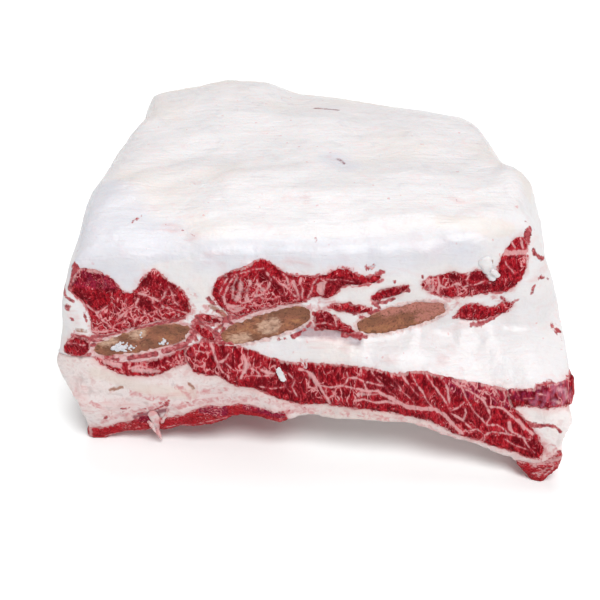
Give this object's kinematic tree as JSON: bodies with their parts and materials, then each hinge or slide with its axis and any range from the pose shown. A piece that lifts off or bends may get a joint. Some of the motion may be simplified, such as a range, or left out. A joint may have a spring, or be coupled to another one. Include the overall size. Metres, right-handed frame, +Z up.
{
  "type": "raw beef short rib rack",
  "caption": "Raw beef rib rack with a thick white fat cover, sawn rib ends in the cut face, marbled lean and an arched underside.",
  "frame": {"origin": "centre of the bounding box, on the surface that the rack rests on", "axes": "+X along the row of rib ends, +Y from the cut face to the back along the ribs, +Z up out of the fat cover"},
  "size_m": [0.245, 0.2486, 0.1171],
  "materials": {
    "cover_fat": "moist white fat with a faint pink cast",
    "base_fat": "moist creamy pink fat",
    "upper_lean": "wet crimson muscle with white marbling",
    "lower_lean": "wet dark crimson muscle with slanting white marbling",
    "rib_bone": "sawn bone, brown marrow in a cream rim",
    "skirt_lean": "wet red muscle"
  },
  "bodies": {
    "root": {"rib_left": "rib_bone", "rib_middle": "rib_bone", "rib_right": "rib_bone", "lean_left": "upper_lean", "lean_middle": "upper_lean", "lean_right": "upper_lean", "lean_edge": "upper_lean", "intercostal_first": "upper_lean", "intercostal_second": "upper_lean", "lean_strip_first": "upper_lean", "lean_strip_second": "upper_lean", "lean_strip_third": "upper_lean", "lean_strip_right": "upper_lean", "fat_cap": "cover_fat", "fat_base": "base_fat", "lean_under_rib": "lower_lean", "lean_lower": "lower_lean", "lean_flank": "lower_lean", "skirt_left": "skirt_lean", "skirt_right": "skirt_lean"}
  },
  "joints": []
}
